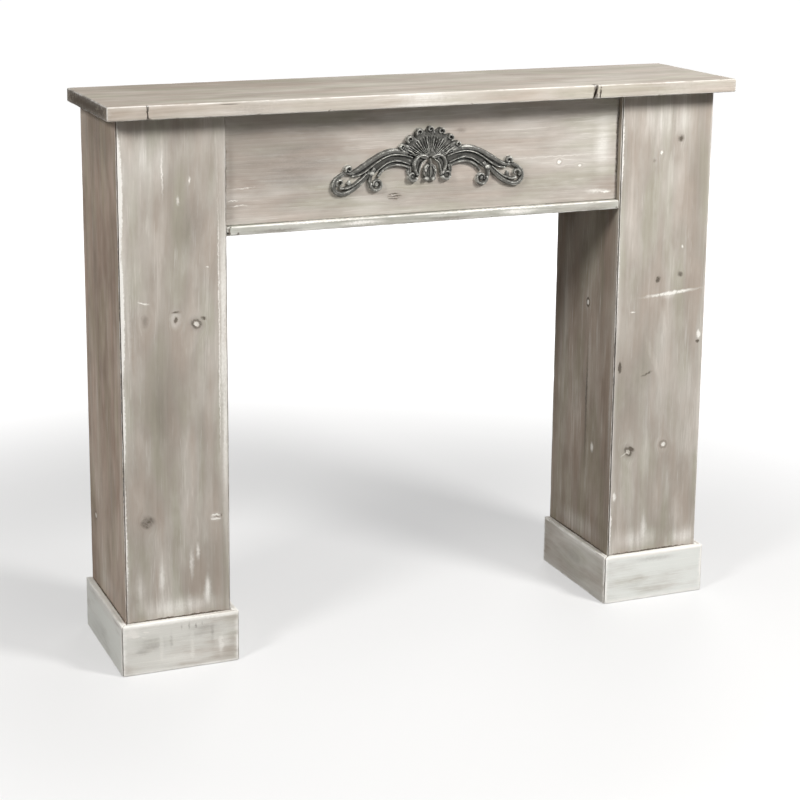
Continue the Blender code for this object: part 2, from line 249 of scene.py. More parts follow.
class Board:
    """A fir board in the place of a CAD node.

    grain is the axis along its grain, and face the axis that its best face looks along.
    """

    def __init__(self, node, grain, face, seed):
        self.node = node
        self.grain = grain
        self.face = face
        self.across = 3 - grain - face
        self.seed = seed
        self.low, self.high = (np.array(corner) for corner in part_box(node))
        self.marks = []

    def saw(self):
        """Add the board at its size and place, as a plain block that is open in edit mode."""
        deselect()
        bpy.ops.mesh.primitive_cube_add(size=1.0, location=(self.low + self.high) / 2,
                                        scale=self.high - self.low)
        self.piece = bpy.context.object
        self.piece.name = self.node + "_fir"
        self.piece.data.name = self.piece.name
        bpy.ops.object.transform_apply(location=True, rotation=True, scale=True)
        bpy.ops.object.mode_set(mode="EDIT")
        bpy.ops.mesh.select_mode(type="VERT")

    def pick(self, test):
        """Select the corners whose place passes a test."""
        builder = bmesh.from_edit_mesh(self.piece.data)
        for corner in builder.verts:
            corner.select = bool(test(corner.co))
        builder.select_flush_mode()
        bmesh.update_edit_mesh(self.piece.data)

    def shift(self, test, move):
        self.pick(test)
        bpy.ops.transform.translate(value=move)

    def cut_lattice(self):
        """Subdivide the edges along each axis in turn. Mitred edges count with the thickness."""
        bpy.ops.mesh.select_mode(type="EDGE")
        for axis in range(3):
            step = LATTICE_ALONG if axis == self.grain else LATTICE_ACROSS
            cuts = max(1, round((self.high[axis] - self.low[axis]) / step) - 1)
            builder = bmesh.from_edit_mesh(self.piece.data)
            for edge in builder.edges:
                run = edge.verts[1].co - edge.verts[0].co
                axes = [other for other in range(3) if abs(run[other]) > 1e-5]
                edge.select_set((axes[0] if len(axes) == 1 else self.face) == axis)
            bmesh.update_edit_mesh(self.piece.data)
            bpy.ops.mesh.subdivide(number_cuts=cuts)

    def round_arrises(self, radius):
        bpy.ops.mesh.select_all(action="DESELECT")
        bpy.ops.mesh.edges_select_sharp(sharpness=math.radians(30))
        bpy.ops.mesh.bevel(offset=radius, segments=3, profile=0.5, affect="EDGES")
        bpy.ops.object.mode_set(mode="OBJECT")

    def arris_distance(self, points):
        """How far points on the faces lie from their nearest arris."""
        inset = np.minimum(points - self.low, self.high - points)
        return np.sort(inset, axis=1)[:, 1]

    def weather(self, depth):
        """Rub the arrises away unevenly and sink the knots, always into the wood."""
        mesh = self.piece.data
        points = read_vectors(mesh.vertices, "co")
        normals = read_vectors(mesh.vertices, "normal")
        shift = Vector((1.7, 2.9, 0.7)) * self.seed
        rub = np.array([max(0.0, noise.noise(Vector(point) * 36.0 + shift)
                            + 0.5 * noise.noise(Vector(point) * 120.0 - shift)) for point in points])
        sink = depth * rub * np.exp(-self.arris_distance(points) / RUB_REACH)
        flat = np.abs(normals[:, self.face]) > 0.9
        for across, along, half_width, half_length, lean, heart, ring, halo in self.marks:
            away = np.hypot((points[:, self.across] - across) / half_width,
                            (points[:, self.grain] - along) / half_length)
            sink += KNOT_DEPTH * ring * flat * np.exp(-(away / KNOT_REACH) ** 2)
        write_vectors(mesh.vertices, "co", points - normals * sink[:, None])
        mesh.update()

    def notch(self, place, size, lean):
        """Cut a split or a chip with a wedge that narrows away from the front."""
        deselect()
        bpy.ops.mesh.primitive_cylinder_add(vertices=3, radius=1.0, depth=1.0, location=place,
                                            rotation=(0.0, math.radians(lean), 0.0),
                                            scale=(size[0] / WEDGE_WIDTH, size[1] / WEDGE_DEPTH, size[2]))
        wedge = bpy.context.object
        choose(self.piece)
        cut = self.piece.modifiers.new("cut", "BOOLEAN")
        cut.operation = "DIFFERENCE"
        cut.object = wedge
        bpy.ops.object.modifier_apply(modifier=cut.name)
        bpy.data.objects.remove(wedge)

    def hand_over(self, finish, slot):
        """Smooth the rounded arrises, paint the board and put it in its node's place."""
        choose(self.piece)
        bpy.ops.object.shade_smooth_by_angle(angle=math.radians(40))
        finish.dress(self.piece)
        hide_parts(self.node)
        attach(self.piece, "root")


def read_vectors(elements, name):
    """One row of three numbers for each element of a mesh."""
    flat = np.empty(len(elements) * 3, dtype=np.float32)
    elements.foreach_get(name, flat)
    return flat.reshape(-1, 3).astype(np.float64)


def write_vectors(elements, name, rows):
    elements.foreach_set(name, rows.astype(np.float32).ravel())


def mark(across, along, half_width, half_length, lean=0.0, heart=0.0, ring=0.0, halo=0.0):
    """A knot, scratch or patch on a board, as an oval at its place in metres.

    Its heart, the ring round that and its soft halo each go paler above 0 and darker below it. A
    knot's ring is a number above 0, which is how dark it is. lean is in degrees.
    """
    return (across, along, half_width, half_length, lean, heart, ring, halo)


# Share of the oval's radius, then how much of the heart, ring and halo is there
MARK_PARTS = [(0.00, (1.0, 0.0, 1.0)), (0.16, (1.0, 0.0, 1.0)), (0.27, (0.1, 1.0, 0.9)),
              (0.40, (0.0, 0.7, 0.75)), (0.52, (0.0, 0.0, 0.55)), (1.00, (0.0, 0.0, 0.0))]


MARK_THROUGH = 40.0
WASH_WHITE = (0.79, 0.77, 0.725)
ARRIS_WHITE = (0.91, 0.895, 0.855)
KNOT_DARK = (0.12, 0.10, 0.08)


def axis_vector(axis, length):
    return tuple(length if other == axis else 0.0 for other in range(3))


def by_grain(board, along, beside):
    """A vector with one value along the board's grain and another on the two axes beside it."""
    return tuple(along if axis == board.grain else beside for axis in range(3))


def place_marks(finish, board):
    """How much paler the marks make the board, and its place with the grain aside round knots."""
    wobble = finish.cloud(finish.place, 160.0, 2.0, 0.6, "Color")
    wavy = finish.vector("ADD", finish.place, finish.vector("MULTIPLY", wobble, (0.006,) * 3))
    wavy = finish.vector("SUBTRACT", wavy, (0.003,) * 3)
    paler = 0.0
    aside = finish.vector("ADD", finish.place, tuple(board.seed * step for step in (0.37, 0.53, 0.71)))
    for across, along, half_width, half_length, lean, heart, ring, halo in board.marks:
        centre = [0.0, 0.0, 0.0]
        centre[board.across] = across
        centre[board.grain] = along
        size = [MARK_THROUGH] * 3
        size[board.across] = half_width
        size[board.grain] = half_length
        local = finish.node("Mapping", {"vector_type": "TEXTURE"},
                            {"Vector": wavy, "Location": centre, "Scale": size,
                             "Rotation": axis_vector(board.face, math.radians(lean))})
        away = finish.node("VectorMath", {"operation": "LENGTH"}, {0: local}, "Value")
        parts = finish.node("ValToRGB", {"stops": MARK_PARTS}, {0: away})
        paler = paler + finish.node("VectorMath", {"operation": "DOT_PRODUCT"},
                                    {0: parts, 1: (heart, -ring, halo)}, "Value")
        if ring > 0.0:
            push = finish.vector("MULTIPLY", local, axis_vector(board.across, -0.8 * half_width))
            push = finish.node("VectorMath", {"operation": "SCALE"},
                               {0: push, 3: finish.rise(away, 0.0, 1.3, 1.0, 0.0)})
            aside = finish.vector("ADD", aside, push)
    return paler, aside


def arris_inset(finish, board):
    """How far a point on the board is from its nearest arris, the middle one of three insets."""
    inset = finish.vector("MINIMUM", finish.vector("SUBTRACT", finish.place, tuple(board.low)),
                          finish.vector("SUBTRACT", tuple(board.high), finish.place))
    x_inset, y_inset, z_inset = (finish.node("SeparateXYZ", None, {0: inset}, axis) for axis in range(3))
    return finish.maths("MAXIMUM", finish.maths("MINIMUM", x_inset, y_inset),
                        finish.maths("MINIMUM", finish.maths("MAXIMUM", x_inset, y_inset), z_inset))


def fir_finish(name, board, stain, wood, wash, coverage=0.5, contrast=1.0, arris_white=0.6,
               arris_reach=0.0026, band=0.16, ring_strength=0.16, wash_limits=(-0.14, 0.34),
               wash_rub=0.9):
    """Stained and whitewashed fir, with its grain, the board's marks and its worn arrises.

    Lower wash_limits leave less bare wood, and a lower wash_rub makes the wash less streaky.
    arris_reach is how wide the line rubbed white along an arris is, in metres, and band is how
    strong the softer white beside that line is.
    """
    finish = Finish(name)
    paler, aside = place_marks(finish, board)

    # Grain: slow sway, broad cloudy tone, streaks, fibres and growth rings
    slow = finish.vector("MULTIPLY", aside, by_grain(board, 0.12, 1.0))
    sway = finish.cloud(slow, 11.0, 1.0, 0.5, "Color")
    swayed = finish.vector("ADD", aside, finish.vector("MULTIPLY", sway, by_grain(board, 0.0, 0.022)))

    def stretched(ratio):
        """The swayed place, drawn out along the grain."""
        return finish.vector("MULTIPLY", swayed, by_grain(board, ratio, 1.0))

    broad = finish.cloud(stretched(0.30), 12.0, 1.0) - 0.5
    bloom = finish.cloud(stretched(0.34), 38.0, 3.0, 0.55) - 0.5
    tint = finish.cloud(stretched(0.22), 30.0, 1.0)
    streak = finish.cloud(stretched(0.030), 130.0, 3.0, 0.62) - 0.5
    rub = finish.cloud(stretched(0.10), 62.0, 4.0, 0.62) - 0.5
    fibre = finish.cloud(stretched(0.030), 520.0, 2.0, 0.6) - 0.5
    pith = [0.0, 0.0, 0.0]
    pith[board.face] = 0.13
    pith[board.across] = 0.03 * (board.seed % 3 - 1)
    ring_place = finish.node("Mapping", None, {"Vector": stretched(0.35), "Location": pith,
                                               "Rotation": axis_vector(board.across, 0.05)})
    rings = finish.node("TexWave", {"wave_type": "RINGS", "rings_direction": "XYZ"[board.grain],
                                    "wave_profile": "SAW"},
                        {"Vector": ring_place, "Scale": 52.0, "Distortion": 2.4, "Detail": 2.0,
                         "Detail Scale": 0.35}) - 0.5

    mottle = 0.8 * broad + 0.65 * bloom
    tone = 0.56 + contrast * (mottle + 0.34 * streak + ring_strength * rings + 0.24 * fibre)
    colour = finish.mix(finish.rise(tone, 0.0, 1.0), stain, wood)
    tints = [(0.34, (0.965, 1.0, 0.950)), (0.5, (1.0, 1.0, 1.0)), (0.66, (1.025, 0.988, 0.975))]
    colour = finish.mix(1.0, colour, finish.node("ValToRGB", {"stops": tints}, {0: tint}), "MULTIPLY")
    washed = finish.rise(wash_rub * rub + mottle - 0.3 * fibre, *wash_limits) * coverage
    colour = finish.mix(washed, colour, wash)
    scratches = finish.rise(fibre + 0.9 * rub + 0.5 * broad, 0.14, 0.26) * (0.24 * contrast)
    colour = finish.mix(scratches, colour, WASH_WHITE)

    # Marks, frayed by the grain, then the arrises, sanded through and caught by the wash
    if board.marks:
        fleck = finish.cloud(stretched(0.5), 430.0, 2.0, 0.6) - 0.5
        fleck = fleck * finish.maths("MINIMUM", paler * paler, 1.0)
        frayed = paler * (1.0 + 1.6 * rub + 1.1 * streak + 2.2 * fleck)
        colour = finish.mix(finish.rise(frayed, 0.0, 1.0), colour, WASH_WHITE)
        colour = finish.mix(finish.rise(frayed, 0.0, -1.0), colour, KNOT_DARK)
    nearest = arris_inset(finish, board)
    breaks = finish.rise(finish.cloud(aside, 26.0, 3.0, 0.6), 0.40, 0.58)
    ragged = nearest + 0.6 * arris_reach * rub
    line = finish.rise(ragged, 0.3 * arris_reach, arris_reach, 1.0, 0.0) * (0.25 + 0.75 * breaks)
    soft_band = finish.rise(nearest, 0.001, 0.011, 1.0, 0.0) * finish.rise(streak, -0.15, 0.12)
    colour = finish.mix(soft_band * band, colour, ARRIS_WHITE)
    colour = finish.mix(line * arris_white, colour, ARRIS_WHITE)

    finish.feed("Base Color", colour)
    finish.feed("Roughness", 0.70 + 0.12 * washed - 0.10 * fibre)
    finish.feed("Specular IOR Level", 0.20)
    height = 0.5 * fibre + 0.30 * streak + 0.25 * rings + 0.25 * rub
    finish.feed("Normal", finish.node("Bump", None, {"Strength": 0.45, "Distance": 0.0009,
                                                     "Height": height}))
    return finish


SHELF_STAIN = (0.33, 0.285, 0.235)
SHELF_FIR = (0.50, 0.45, 0.39)
SHELF_WASH = (0.60, 0.56, 0.51)

shelf = Board("shelf_board", grain=0, face=2, seed=1)
shelf.saw()
shelf.cut_lattice()
shelf.round_arrises(0.0024)
shelf.weather(0.0011)
shelf.marks = [
    mark(-0.138, 0.3005, 0.013, 0.0050, halo=-1.8),
    mark(-0.140, 0.3100, 0.008, 0.0020, halo=-1.2),
    mark(-0.140, -0.5220, 0.009, 0.0022, halo=-1.4),
    mark(0.000, -0.5905, 0.200, 0.0034, halo=-1.6),
    mark(-0.141, -0.3300, 0.0050, 0.090, halo=-0.28),
    mark(-0.141, -0.0300, 0.0050, 0.090, halo=0.45),
    mark(-0.141, 0.4600, 0.0050, 0.110, halo=0.25),
    mark(-0.060, -0.300, 0.040, 0.160, halo=-0.22),
    mark(0.040, 0.050, 0.040, 0.200, halo=-0.18),
    mark(-0.030, 0.420, 0.060, 0.160, halo=0.26),
    mark(-0.070, -0.500, 0.020, 0.070, halo=0.24),
    mark(0.060, 0.240, 0.0030, 0.060, halo=-0.5),
]
shelf.notch((0.3005, -0.1385, 0.988), (0.0062, 0.016, 0.040), 18)
shelf.notch((0.3100, -0.1395, 0.981), (0.0020, 0.009, 0.020), 8)
shelf.notch((-0.5220, -0.1395, 0.988), (0.0016, 0.010, 0.040), -5)
shelf.notch((-0.5190, -0.1400, 0.975), (0.0130, 0.006, 0.008), 20)
shelf.notch((-0.3820, -0.1400, 0.9962), (0.0560, 0.006, 0.0012), 1)
shelf.notch((-0.2050, -0.1400, 0.975), (0.0110, 0.005, 0.007), -25)
shelf.notch((0.0600, -0.1400, 0.975), (0.0160, 0.004, 0.006), 12)
shelf.notch((0.4300, -0.1400, 0.975), (0.0140, 0.004, 0.006), -10)
shelf.notch((-0.4550, -0.1400, 1.000), (0.0300, 0.005, 0.0022), 3)
shelf.notch((-0.3050, -0.1400, 1.000), (0.0440, 0.005, 0.0024), -2)
shelf.notch((-0.0900, -0.1400, 1.000), (0.0220, 0.004, 0.0022), 4)
shelf.notch((-0.4700, -0.1400, 0.975), (0.0250, 0.004, 0.0050), 6)
shelf.notch((-0.3300, -0.1400, 0.975), (0.0180, 0.005, 0.0060), -9)
shelf.notch((-0.5900, -0.1120, 1.000), (0.0050, 0.018, 0.004), 35)
shelf.notch((-0.5900, -0.0300, 0.9755), (0.0050, 0.030, 0.004), 35)
shelf.hand_over(fir_finish("shelf_whitewash", shelf, SHELF_STAIN, SHELF_FIR, SHELF_WASH,
                           coverage=0.45), "shelf_wood")


# Each pillar is three fir boards, mitred where they meet at the front corners and open at the
# back. The grain runs up them. Their corners are sanded until the pale wood shows in broken lines,
# and a dark seam stays between the boards.
PILLAR_STAIN = (0.280, 0.247, 0.208)
PILLAR_FIR = (0.435, 0.394, 0.348)
PILLAR_WASH = (0.60, 0.575, 0.530)
# The inner boards' colours are darker, painted shade for the space between the pillars.
INNER_STAIN_SHADED = (0.222, 0.178, 0.142)
INNER_FIR_SHADED = (0.390, 0.333, 0.278)
INNER_WASH_SHADED = (0.50, 0.455, 0.400)
# The outer boards' colours are browner, as the wood is, and paler too, painted light for their lit sides.
OUTER_STAIN_LIT = (0.290, 0.222, 0.178)
OUTER_FIR_LIT = (0.560, 0.458, 0.378)
OUTER_WASH_LIT = (0.62, 0.560, 0.490)

PILLAR_MARKS = {
    "left_pillar_front_board": [
        mark(-0.469, 0.628, 0.016, 0.022, heart=-1.2, ring=0.10, halo=0.50),
        mark(-0.469, 0.642, 0.011, 0.0030, halo=-1.0),
        mark(-0.433, 0.618, 0.021, 0.018, lean=40, heart=1.2, ring=0.35, halo=-0.55),
        mark(-0.420, 0.628, 0.007, 0.0040, lean=30, halo=-0.9),
        mark(-0.523, 0.630, 0.016, 0.026, heart=-0.3, ring=0.2, halo=-0.15),
        mark(-0.528, 0.271, 0.024, 0.019, lean=30, heart=-0.3, ring=0.32, halo=-0.40),
        mark(-0.521, 0.278, 0.017, 0.008, lean=32, halo=-0.45),
        mark(-0.402, 0.269, 0.016, 0.012, halo=0.45),
        mark(-0.402, 0.2725, 0.009, 0.0016, halo=1.3),
        mark(-0.403, 0.2650, 0.011, 0.0016, halo=1.3),
        mark(-0.400, 0.2690, 0.008, 0.0014, halo=-1.0),
        mark(-0.392, 0.2710, 0.002, 0.0060, halo=-1.0),
        mark(-0.525, 0.661, 0.014, 0.0022, lean=16, halo=1.1),
        mark(-0.413, 0.716, 0.004, 0.0020, halo=0.9),
        mark(-0.462, 0.833, 0.004, 0.013, halo=0.8),
        mark(-0.442, 0.866, 0.003, 0.010, halo=0.8),
        mark(-0.489, 0.875, 0.0018, 0.050, halo=0.45),
        # Painted light: the top of the front is paler, as if lit more strongly there.
        mark(-0.510, 0.905, 0.080, 0.085, halo=0.34),
        mark(-0.440, 0.790, 0.045, 0.105, lean=6, halo=-0.36),
        mark(-0.500, 0.480, 0.055, 0.160, halo=-0.30),
        mark(-0.425, 0.420, 0.030, 0.130, halo=-0.26),
        mark(-0.384, 0.560, 0.011, 0.460, halo=0.72),
        mark(-0.3925, 0.620, 0.0014, 0.300, halo=0.9),
        mark(-0.555, 0.680, 0.013, 0.330, halo=0.36),
        mark(-0.5652, 0.850, 0.0082, 0.120, halo=2.6),
        mark(-0.5652, 0.640, 0.0076, 0.125, halo=2.6),
        mark(-0.5654, 0.450, 0.0055, 0.090, halo=2.0),
        mark(-0.5656, 0.240, 0.0050, 0.150, halo=1.6),
        mark(-0.447, 0.190, 0.006, 0.045, halo=0.60),
        mark(-0.501, 0.170, 0.009, 0.050, halo=0.55),
        mark(-0.436, 0.210, 0.005, 0.022, halo=0.70),
        mark(-0.419, 0.140, 0.009, 0.032, halo=0.60),
        mark(-0.540, 0.150, 0.012, 0.050, halo=0.40),
        mark(-0.472, 0.112, 0.105, 0.028, halo=0.55),
        mark(-0.472, 0.0935, 0.120, 0.0024, halo=-1.6),
    ],
    "right_pillar_front_board": [
        mark(0.501, 0.890, 0.016, 0.016, heart=-0.8, ring=0.5, halo=-0.18),
        mark(0.461, 0.865, 0.009, 0.016, heart=0.9, ring=0.1, halo=0.20),
        mark(0.464, 0.626, 0.011, 0.015, lean=30, heart=-1.1, ring=0.5, halo=-0.1),
        mark(0.511, 0.633, 0.014, 0.013, heart=-0.6, ring=0.4, halo=-0.1),
        mark(0.413, 0.296, 0.022, 0.016, lean=50, heart=0.6, ring=0.35, halo=-0.45),
        mark(0.421, 0.301, 0.010, 0.004, lean=35, halo=-0.8),
        mark(0.405, 0.292, 0.012, 0.0022, lean=-30, halo=0.8),
        mark(0.475, 0.440, 0.300, 0.310, halo=-0.17),
        mark(0.489, 0.303, 0.022, 0.020, heart=0.5, ring=0.5, halo=0.20),
        mark(0.493, 0.5985, 0.085, 0.0046, lean=-4, halo=1.0),
        mark(0.486, 0.5930, 0.030, 0.0110, lean=-4, halo=0.45),
        mark(0.482, 0.545, 0.009, 0.045, lean=-10, halo=0.40),
        mark(0.458, 0.478, 0.007, 0.050, lean=-22, halo=0.34),
        mark(0.447, 0.446, 0.016, 0.0030, lean=-20, halo=-0.5),
        mark(0.513, 0.686, 0.003, 0.005, halo=1.1),
        mark(0.447, 0.851, 0.006, 0.006, halo=-0.4),
        mark(0.413, 0.568, 0.008, 0.0020, halo=1.0),
        mark(0.556, 0.514, 0.005, 0.011, halo=1.5),
        mark(0.554, 0.500, 0.005, 0.004, halo=-1.2),
        mark(0.389, 0.463, 0.0045, 0.014, halo=-1.6),
        mark(0.387, 0.209, 0.005, 0.012, halo=1.2),
        # Painted light: the top of the front is paler, as if lit more strongly there.
        mark(0.475, 0.925, 0.100, 0.060, halo=0.40),
        mark(0.400, 0.760, 0.022, 0.130, halo=0.30),
        mark(0.430, 0.420, 0.055, 0.140, halo=-0.16),
        mark(0.540, 0.760, 0.020, 0.150, halo=-0.20),
        mark(0.3785, 0.875, 0.0050, 0.090, halo=2.2),
        mark(0.3785, 0.640, 0.0030, 0.120, halo=1.2),
        mark(0.3785, 0.150, 0.0045, 0.055, halo=1.8),
        mark(0.440, 0.118, 0.070, 0.034, halo=0.50),
        mark(0.540, 0.112, 0.040, 0.026, halo=0.55),
        mark(0.452, 0.150, 0.009, 0.034, halo=0.45),
        mark(0.472, 0.0935, 0.120, 0.0024, halo=-1.6),
    ],
    "left_pillar_outer_board": [
        mark(0.100, 0.225, 0.020, 0.022, heart=0.9, ring=0.5, halo=0.1),
        mark(-0.1015, 0.530, 0.0022, 0.450, halo=-1.4),
        mark(-0.088, 0.500, 0.012, 0.420, halo=0.30),
        mark(0.060, 0.720, 0.026, 0.220, halo=-0.34),
        mark(-0.020, 0.330, 0.022, 0.200, halo=-0.30),
        mark(-0.055, 0.650, 0.012, 0.260, halo=-0.30),
        # Painted shade: darker at the top, under the shelf's overhang.
        mark(0.020, 0.940, 0.220, 0.130, halo=-0.45),
        mark(0.115, 0.500, 0.016, 0.300, halo=0.22),
        mark(0.020, 0.120, 0.130, 0.035, halo=0.30),
        mark(0.020, 0.0935, 0.150, 0.0024, halo=-1.6),
    ],
    "right_pillar_inner_board": [
        mark(0.006, 0.566, 0.016, 0.022, heart=1.3, ring=0.9, halo=0.1),
        # Painted shade: darker at the top back, where the frieze and the shelf shade the board.
        mark(0.100, 0.760, 0.090, 0.130, halo=-0.60),
        mark(-0.027, 0.287, 0.009, 0.014, halo=0.8),
        mark(0.001, 0.370, 0.0060, 0.200, halo=-0.45),
        mark(0.008, 0.370, 0.020, 0.230, halo=-0.28),
        mark(-0.1015, 0.530, 0.0022, 0.450, halo=-1.4),
        mark(-0.092, 0.400, 0.008, 0.350, halo=0.30),
        mark(0.100, 0.450, 0.030, 0.260, halo=0.22),
        mark(-0.045, 0.460, 0.018, 0.160, halo=0.20),
        mark(0.020, 0.118, 0.130, 0.034, halo=0.34),
        mark(0.020, 0.0935, 0.150, 0.0024, halo=-1.6),
    ],
    "right_pillar_outer_board": [mark(-0.030, 0.410, 0.018, 0.020, heart=-0.4, ring=0.6, halo=-0.1)],
    "left_pillar_inner_board": [mark(0.020, 0.640, 0.018, 0.020, heart=-0.4, ring=0.6, halo=-0.1)],
}


def mitre(board, side, place):
    """Slant the ends of a board that meets its neighbours at the front corners of a wrap."""
    thickness = board.high[board.face] - board.low[board.face]
    middle = (board.low + board.high) / 2
    if place == "front":
        board.shift(lambda corner: corner.y > middle[1] and corner.x < middle[0], (thickness, 0, 0))
        board.shift(lambda corner: corner.y > middle[1] and corner.x > middle[0], (-thickness, 0, 0))
    else:
        hidden = side if place == "inner" else -side
        board.shift(lambda corner: corner.y < middle[1] and (corner.x - middle[0]) * hidden > 0,
                    (0, thickness, 0))


def wrap_board(node, side, place, grain, seed, marks):
    """One board of the three that wrap a pillar or its foot."""
    board = Board(node, grain=grain if place == "front" or grain == 2 else 1,
                  face=1 if place == "front" else 0, seed=seed)
    board.marks = marks
    board.saw()
    mitre(board, side, place)
    board.cut_lattice()
    board.round_arrises(ARRIS_RADIUS)
    board.weather(0.0009)
    return board


seed = 2
for side_name, side in (("left", -1), ("right", 1)):
    for place in ("front", "outer", "inner"):
        node = f"{side_name}_pillar_{place}_board"
        board = wrap_board(node, side, place, 2, seed, PILLAR_MARKS[node])
        colours = {"front": (PILLAR_STAIN, PILLAR_FIR, PILLAR_WASH),
                   "outer": (OUTER_STAIN_LIT, OUTER_FIR_LIT, OUTER_WASH_LIT),
                   "inner": (INNER_STAIN_SHADED, INNER_FIR_SHADED, INNER_WASH_SHADED)}[place]
        finish = fir_finish(node + "_whitewash", board, *colours, coverage=0.35, ring_strength=0.11,
                            contrast={"front": 0.78, "outer": 1.20, "inner": 0.95}[place])
        board.hand_over(finish, "pillar_wood")
        seed += 1


# Each foot is wrapped in three thin boards, mitred like the pillar's, with the grain running
# round it. They are whitewashed more thickly than the rest, and scuffed.
PLINTH_STAIN = (0.37, 0.325, 0.275)
PLINTH_FIR = (0.54, 0.50, 0.45)
PLINTH_WASH = (0.70, 0.695, 0.655)
THICK_WASH = (0.90, 0.915, 0.875)
PLINTH_WASHES = {
    "right_plinth_front_board": ((0.765, 0.780, 0.750), 0.95, (-0.62, -0.02)),
    "right_plinth_inner_board": (PLINTH_WASH, 0.60, (-0.30, 0.20)),
    "left_plinth_outer_board": (THICK_WASH, 0.88, (-0.50, 0.05)),
}

PLINTH_MARKS = {
    "left_plinth_front_board": [
        mark(0.055, -0.525, 0.020, 0.045, halo=-0.46),
        mark(0.040, -0.545, 0.008, 0.022, halo=-0.30),
        mark(0.060, -0.440, 0.008, 0.050, halo=-0.26),
        mark(0.072, -0.430, 0.012, 0.050, halo=-0.30),
        mark(0.0900, -0.472, 0.0048, 0.130, halo=1.5),
        mark(0.072, -0.555, 0.0025, 0.010, halo=1.4),
        mark(0.078, -0.535, 0.0020, 0.008, halo=1.3),
        mark(0.068, -0.540, 0.0016, 0.007, halo=1.2),
        mark(0.088, -0.455, 0.0030, 0.042, halo=-0.55),
        mark(0.079, -0.471, 0.0080, 0.0024, halo=-0.45),
        mark(0.080, -0.457, 0.0095, 0.0024, halo=-0.50),
        mark(0.078, -0.445, 0.0070, 0.0022, halo=-0.45),
        mark(0.081, -0.434, 0.0060, 0.0022, halo=-0.40),
        mark(0.080, -0.562, 0.014, 0.022, halo=0.95),
        mark(0.045, -0.508, 0.032, 0.0050, halo=0.45),
        mark(0.058, -0.490, 0.026, 0.0045, halo=-0.26),
        mark(0.040, -0.452, 0.032, 0.0060, halo=0.40),
        mark(0.050, -0.415, 0.030, 0.0050, halo=-0.26),
        mark(0.036, -0.399, 0.032, 0.0060, halo=0.45),
        mark(0.022, -0.470, 0.018, 0.090, halo=0.55),
        mark(0.040, -0.395, 0.020, 0.025, halo=0.55),
    ],
    "right_plinth_front_board": [
        mark(0.080, 0.470, 0.009, 0.080, halo=-0.30),
        mark(0.0900, 0.472, 0.0048, 0.130, halo=1.5),
        mark(0.030, 0.430, 0.008, 0.040, halo=-0.16),
    ],
    "right_plinth_inner_board": [
        mark(0.055, 0.010, 0.026, 0.060, ring=0.04, halo=-0.22),
        mark(0.020, -0.050, 0.018, 0.060, halo=0.35),
        mark(0.085, 0.020, 0.008, 0.130, halo=0.40),
    ],
    "left_plinth_outer_board": [
        mark(0.080, 0.010, 0.012, 0.140, halo=0.50),
        mark(0.0900, 0.013, 0.0050, 0.150, halo=1.3),
        mark(0.030, 0.040, 0.025, 0.080, halo=-0.20),
    ],
}

for side_name, side in (("left", -1), ("right", 1)):
    for place in ("front", "outer", "inner"):
        node = f"{side_name}_plinth_{place}_board"
        board = wrap_board(node, side, place, 0, seed, PLINTH_MARKS.get(node, []))
        wash, coverage, limits = PLINTH_WASHES.get(node, (PLINTH_WASH, 0.88, (-0.34, 0.10)))
        finish = fir_finish(node + "_whitewash", board, PLINTH_STAIN, PLINTH_FIR, wash, coverage=coverage,
                            arris_white=1.0, arris_reach=0.0056, band=0.6, wash_limits=limits,
                            wash_rub=0.60)
        board.hand_over(finish, "plinth_wood")
        seed += 1


# The frieze board stands between the pillars, set back from their fronts, with its grain running
# across. It is glued under the shelf.
FRIEZE_STAIN = (0.32, 0.283, 0.245)
FRIEZE_FIR = (0.465, 0.423, 0.378)
FRIEZE_WASH = (0.63, 0.605, 0.565)

frieze = Board("frieze_board", grain=0, face=1, seed=seed)
frieze.marks = [
    mark(0.814, -0.065, 0.016, 0.028, heart=-0.1, ring=0.18, halo=-0.25),
    mark(0.8185, -0.066, 0.0013, 0.013, halo=-0.9),
    mark(0.8145, -0.063, 0.0013, 0.015, halo=-0.9),
    mark(0.8105, -0.066, 0.0013, 0.012, halo=-0.9),
    mark(0.8165, -0.066, 0.0010, 0.011, halo=1.0),
    mark(0.8125, -0.068, 0.0010, 0.010, halo=1.0),
    mark(0.826, -0.108, 0.016, 0.028, halo=-0.30),
    mark(0.857, 0.257, 0.013, 0.014, heart=1.6, ring=0.6, halo=0.1),
    mark(0.849, 0.299, 0.010, 0.013, heart=0.7, ring=0.4, halo=0.1),
    mark(0.924, 0.061, 0.008, 0.018, halo=-0.45),
    mark(0.880, -0.250, 0.080, 0.170, halo=-0.42),
    mark(0.830, -0.200, 0.012, 0.090, halo=0.30),
    mark(0.815, -0.350, 0.0016, 0.022, halo=1.1),
    mark(0.824, -0.362, 0.0014, 0.012, halo=1.1),
    mark(0.845, -0.340, 0.0016, 0.030, halo=0.8),
    mark(0.885, 0.290, 0.075, 0.130, halo=0.22),
    mark(0.885, 0.345, 0.080, 0.022, halo=0.36),
    mark(0.800, 0.335, 0.006, 0.036, halo=0.60),
    mark(0.797, 0.354, 0.003, 0.013, halo=1.0),
    mark(0.868, 0.230, 0.0020, 0.120, halo=0.3),
    mark(0.880, -0.3745, 0.130, 0.0030, halo=-0.5),
    mark(0.880, 0.3745, 0.130, 0.0030, halo=-1.0),
]
frieze.saw()
frieze.cut_lattice()
frieze.round_arrises(ARRIS_RADIUS)
frieze.weather(0.0006)
frieze.hand_over(fir_finish("frieze_whitewash", frieze, FRIEZE_STAIN, FRIEZE_FIR, FRIEZE_WASH,
                            coverage=0.45, arris_white=0.2), "frieze_wood")


# A fir batten closes the frieze below. It stands a little proud of it, and its front arrises are
# rubbed white.
STRIP_STAIN = (0.235, 0.230, 0.193)
STRIP_FIR = (0.355, 0.347, 0.303)
STRIP_WASH = (0.51, 0.51, 0.470)

